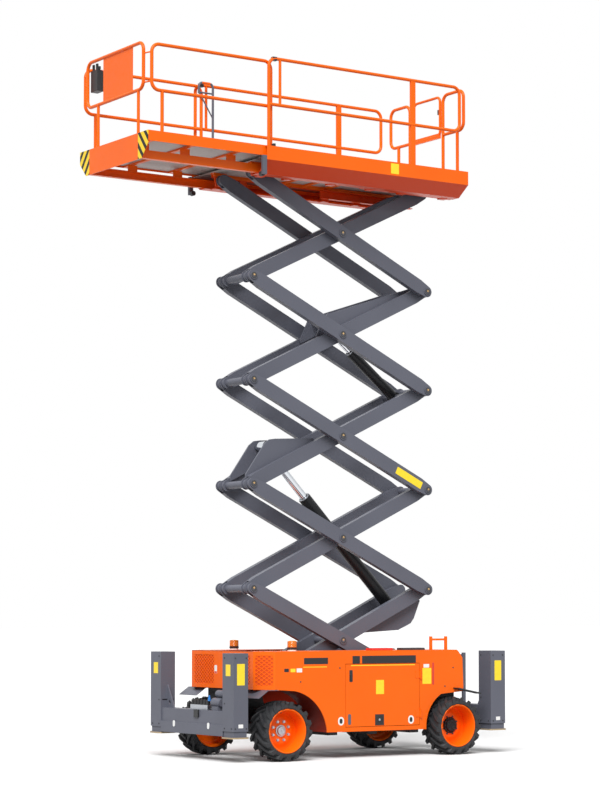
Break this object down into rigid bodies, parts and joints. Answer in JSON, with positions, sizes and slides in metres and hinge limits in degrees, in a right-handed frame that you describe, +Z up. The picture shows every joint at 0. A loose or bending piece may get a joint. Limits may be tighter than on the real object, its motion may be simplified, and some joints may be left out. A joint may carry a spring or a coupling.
{
  "type": "rough-terrain scissor lift",
  "caption": "Self-propelled rough-terrain scissor lift with a roll-out platform extension, raised part way, its outriggers drawn up.",
  "frame": {"origin": "on the ground under the middle of the machine's overall length and width", "axes": "+X to the machine's front, where the platform rolls out, +Y to its left, +Z up"},
  "size_m": [4.752, 1.84, 7.763],
  "materials": {
    "orange_paint": "gloss",
    "grey_paint": "satin",
    "black_paint": "satin",
    "floor_mesh": "satin",
    "chrome_rod": "polished",
    "rubber_tyre": "matt",
    "black_plastic": "matt",
    "amber_lens": "gloss",
    "cast_block": "matt"
  },
  "bodies": {
    "chassis": {"chassis_frame": "black_paint", "left_side_cover": "orange_paint", "right_side_cover": "orange_paint", "front_cowl": "orange_paint", "vent_mesh": "orange_paint", "engine": "cast_block", "mudguards": "black_paint", "beacons": "amber_lens", "hand_hoop": "orange_paint", "entry_ladder": "grey_paint", "front_axle": "black_paint", "rear_axle": "black_paint", "front_outrigger_beam": "grey_paint", "rear_outrigger_beam": "grey_paint"},
    "left_door": {"left_service_door": "orange_paint"},
    "right_door": {"right_service_door": "orange_paint"},
    "left_knuckle": {"left_knuckle": "black_paint"},
    "right_knuckle": {"right_knuckle": "black_paint"},
    "inner_arms_1": {"inner_arms_1": "grey_paint"},
    "outer_arms_1": {"outer_arms_1": "grey_paint"},
    "inner_arms_2": {"inner_arms_2": "grey_paint"},
    "outer_arms_2": {"outer_arms_2": "grey_paint"},
    "inner_arms_3": {"inner_arms_3": "grey_paint"},
    "outer_arms_3": {"outer_arms_3": "grey_paint"},
    "inner_arms_4": {"inner_arms_4": "grey_paint"},
    "outer_arms_4": {"outer_arms_4": "grey_paint"},
    "inner_arms_5": {"inner_arms_5": "grey_paint"},
    "outer_arms_5": {"outer_arms_5": "grey_paint"},
    "lower_barrel": {"lower_cylinder_barrel": "black_paint"},
    "lower_rod": {"lower_cylinder_rod": "chrome_rod"},
    "upper_barrel": {"upper_cylinder_barrel": "black_paint"},
    "upper_rod": {"upper_cylinder_rod": "chrome_rod"},
    "platform": {"main_deck": "orange_paint", "main_floor": "floor_mesh", "main_rails": "orange_paint"},
    "gate": {"entry_gate": "orange_paint"},
    "extension": {"extension_deck": "orange_paint", "extension_floor": "floor_mesh", "extension_rails": "orange_paint", "control_box": "black_plastic", "push_handle": "grey_paint"},
    "front_left_wheel": {"front_left_tyre": "rubber_tyre", "front_left_rim": "orange_paint"},
    "front_right_wheel": {"front_right_tyre": "rubber_tyre", "front_right_rim": "orange_paint"},
    "rear_left_wheel": {"rear_left_tyre": "rubber_tyre", "rear_left_rim": "orange_paint"},
    "rear_right_wheel": {"rear_right_tyre": "rubber_tyre", "rear_right_rim": "orange_paint"},
    "front_left_leg": {"front_left_outrigger_leg": "grey_paint"},
    "front_right_leg": {"front_right_outrigger_leg": "grey_paint"},
    "rear_left_leg": {"rear_left_outrigger_leg": "grey_paint"},
    "rear_right_leg": {"rear_right_outrigger_leg": "grey_paint"}
  },
  "joints": [
    {"name": "lift", "type": "hinge", "parent": "chassis", "child": "inner_arms_1", "pos_m": [0.772, 0, 0.724], "axis": [0, 1, 0], "range_deg": [-21.9, 30.8]},
    {"name": "centre_pins_1", "type": "hinge", "parent": "inner_arms_1", "child": "outer_arms_1", "pos_m": [-0.43774, 0, 1.3061], "axis": [0, 1, 0], "range_deg": [-61.61, 43.81]},
    {"name": "front_pins_1", "type": "hinge", "parent": "outer_arms_1", "child": "inner_arms_2", "pos_m": [0.772, 0, 1.8882], "axis": [0, 1, 0], "range_deg": [-43.81, 61.61]},
    {"name": "centre_pins_2", "type": "hinge", "parent": "inner_arms_2", "child": "outer_arms_2", "pos_m": [-0.43774, 0, 2.4703], "axis": [0, 1, 0], "range_deg": [-61.61, 43.81]},
    {"name": "front_pins_2", "type": "hinge", "parent": "outer_arms_2", "child": "inner_arms_3", "pos_m": [0.772, 0, 3.0524], "axis": [0, 1, 0], "range_deg": [-43.81, 61.61]},
    {"name": "centre_pins_3", "type": "hinge", "parent": "inner_arms_3", "child": "outer_arms_3", "pos_m": [-0.43774, 0, 3.6345], "axis": [0, 1, 0], "range_deg": [-61.61, 43.81]},
    {"name": "front_pins_3", "type": "hinge", "parent": "outer_arms_3", "child": "inner_arms_4", "pos_m": [0.772, 0, 4.2166], "axis": [0, 1, 0], "range_deg": [-43.81, 61.61]},
    {"name": "centre_pins_4", "type": "hinge", "parent": "inner_arms_4", "child": "outer_arms_4", "pos_m": [-0.43774, 0, 4.7987], "axis": [0, 1, 0], "range_deg": [-61.61, 43.81]},
    {"name": "front_pins_4", "type": "hinge", "parent": "outer_arms_4", "child": "inner_arms_5", "pos_m": [0.772, 0, 5.3808], "axis": [0, 1, 0], "range_deg": [-43.81, 61.61]},
    {"name": "centre_pins_5", "type": "hinge", "parent": "inner_arms_5", "child": "outer_arms_5", "pos_m": [-0.43774, 0, 5.9629], "axis": [0, 1, 0], "range_deg": [-61.61, 43.81]},
    {"name": "platform_pins", "type": "hinge", "parent": "outer_arms_5", "child": "platform", "pos_m": [0.772, 0, 6.545], "axis": [0, 1, 0], "range_deg": [-21.91, 30.81]},
    {"name": "lower_barrel_pin", "type": "hinge", "parent": "inner_arms_1", "child": "lower_barrel", "pos_m": [-1.48668, 0, 1.54893], "axis": [0, 1, 0], "range_deg": [-55.14, 39.21]},
    {"name": "lower_rod_stroke", "type": "slide", "parent": "lower_barrel", "child": "lower_rod", "axis": [0.6972, 0, 0.7169], "range_m": [-0.6274, 0.8821]},
    {"name": "upper_barrel_pin", "type": "hinge", "parent": "inner_arms_3", "child": "upper_barrel", "pos_m": [-1.41477, 0, 4.14902], "axis": [0, 1, 0], "range_deg": [-58.53, 41.62]},
    {"name": "upper_rod_stroke", "type": "slide", "parent": "upper_barrel", "child": "upper_rod", "axis": [0.7837, 0, 0.6212], "range_m": [-0.2069, 0.2908]},
    {"name": "gate_hinge", "type": "hinge", "parent": "platform", "child": "gate", "pos_m": [-1.891, -0.268, 7.267], "axis": [0, 0, -1], "range_deg": [0, 90]},
    {"name": "extension_slide", "type": "slide", "parent": "platform", "child": "extension", "axis": [-1, 0, 0], "range_m": [0, 1.465]},
    {"name": "left_door_hinge", "type": "hinge", "parent": "chassis", "child": "left_door", "pos_m": [-1.192, 0.81, 0.7], "axis": [0, 0, 1], "range_deg": [0, 110]},
    {"name": "left_steer", "type": "hinge", "parent": "chassis", "child": "left_knuckle", "pos_m": [0.686, 0.55, 0.33], "axis": [0, 0, 1], "range_deg": [-30, 30]},
    {"name": "right_door_hinge", "type": "hinge", "parent": "chassis", "child": "right_door", "pos_m": [-1.192, -0.81, 0.7], "axis": [0, 0, -1], "range_deg": [0, 110]},
    {"name": "right_steer", "type": "hinge", "parent": "chassis", "child": "right_knuckle", "pos_m": [0.686, -0.55, 0.33], "axis": [0, 0, 1], "range_deg": [-30, 30]},
    {"name": "front_left_wheel_spin", "type": "hinge", "parent": "left_knuckle", "child": "front_left_wheel", "pos_m": [0.686, 0.7675, 0.33], "axis": [0, 1, 0], "continuous": true},
    {"name": "front_right_wheel_spin", "type": "hinge", "parent": "right_knuckle", "child": "front_right_wheel", "pos_m": [0.686, -0.7675, 0.33], "axis": [0, 1, 0], "continuous": true},
    {"name": "rear_left_wheel_spin", "type": "hinge", "parent": "chassis", "child": "rear_left_wheel", "pos_m": [-1.654, 0.7675, 0.33], "axis": [0, 1, 0], "continuous": true},
    {"name": "rear_right_wheel_spin", "type": "hinge", "parent": "chassis", "child": "rear_right_wheel", "pos_m": [-1.654, -0.7675, 0.33], "axis": [0, 1, 0], "continuous": true},
    {"name": "front_left_leg_stroke", "type": "slide", "parent": "chassis", "child": "front_left_leg", "axis": [0, 0, -1], "range_m": [0, 0.45]},
    {"name": "front_right_leg_stroke", "type": "slide", "parent": "chassis", "child": "front_right_leg", "axis": [0, 0, -1], "range_m": [0, 0.45]},
    {"name": "rear_left_leg_stroke", "type": "slide", "parent": "chassis", "child": "rear_left_leg", "axis": [0, 0, -1], "range_m": [0, 0.45]},
    {"name": "rear_right_leg_stroke", "type": "slide", "parent": "chassis", "child": "rear_right_leg", "axis": [0, 0, -1], "range_m": [0, 0.45]}
  ],
  "couplings": [
    {"joint": "centre_pins_1", "follows": "lift", "ratio": -2},
    {"joint": "front_pins_1", "follows": "lift", "ratio": 2},
    {"joint": "centre_pins_2", "follows": "lift", "ratio": -2},
    {"joint": "front_pins_2", "follows": "lift", "ratio": 2},
    {"joint": "centre_pins_3", "follows": "lift", "ratio": -2},
    {"joint": "front_pins_3", "follows": "lift", "ratio": 2},
    {"joint": "centre_pins_4", "follows": "lift", "ratio": -2},
    {"joint": "front_pins_4", "follows": "lift", "ratio": 2},
    {"joint": "centre_pins_5", "follows": "lift", "ratio": -2},
    {"joint": "platform_pins", "follows": "lift", "ratio": 1},
    {"joint": "lower_barrel_pin", "follows": "lift", "ratio": -1.79},
    {"joint": "lower_rod_stroke", "follows": "lift", "m_per_rad": 1.64},
    {"joint": "upper_barrel_pin", "follows": "lift", "ratio": -1.9},
    {"joint": "upper_rod_stroke", "follows": "lift", "m_per_rad": 0.54},
    {"joint": "right_steer", "follows": "left_steer", "ratio": 1}
  ]
}
